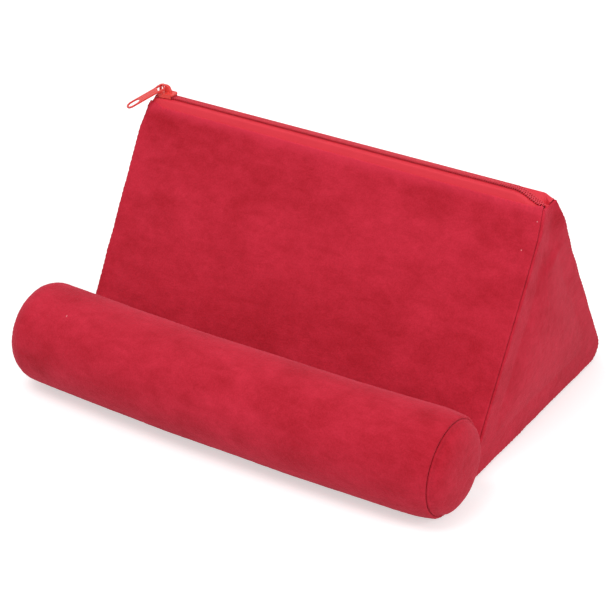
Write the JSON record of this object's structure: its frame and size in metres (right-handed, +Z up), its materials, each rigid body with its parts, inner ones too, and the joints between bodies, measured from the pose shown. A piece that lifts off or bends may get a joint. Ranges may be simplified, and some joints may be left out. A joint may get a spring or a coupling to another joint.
{
  "type": "tablet cushion stand",
  "caption": "Padded wedge cushion with a sewn roll along its front edge that holds a tablet or phone upright; zipped along the ridge.",
  "frame": {"origin": "under the middle of the bounding box, on the surface that the cushion stands on", "axes": "+X along the roll and the zip, +Y from the roll towards the back of the wedge, +Z up"},
  "size_m": [0.2694, 0.2116, 0.1387],
  "materials": {
    "plush": "short brushed plush",
    "zip_tape": "smooth woven tape",
    "zip_coil": "satin dyed polyester coil",
    "slider_paint": "satin enamel on zinc",
    "filling": "soft foam"
  },
  "bodies": {
    "cushion": {"front_panel": "plush", "back_panel": "plush", "base_panel": "plush", "left_gusset": "plush", "right_gusset": "plush", "roll_sleeve": "plush", "roll_cap_left": "plush", "roll_cap_right": "plush", "front_zip_tape": "zip_tape", "back_zip_tape": "zip_tape", "front_coil": "zip_coil", "back_coil": "zip_coil", "foam_wedge": "filling", "roll_core": "filling"},
    "slider": {"zip_slider": "slider_paint"},
    "tab": {"pull_tab": "slider_paint"}
  },
  "joints": [
    {"name": "zip_slide", "type": "slide", "parent": "cushion", "child": "slider", "axis": [1, 0, 0], "range_m": [0, 0.211], "deforming": ["front_coil", "back_coil"]},
    {"name": "tab_swing", "type": "hinge", "parent": "slider", "child": "tab", "pos_m": [-0.1169, 0.02882, 0.1372], "axis": [-0.7071, 0.7071, 0], "range_deg": [0, 150]}
  ]
}
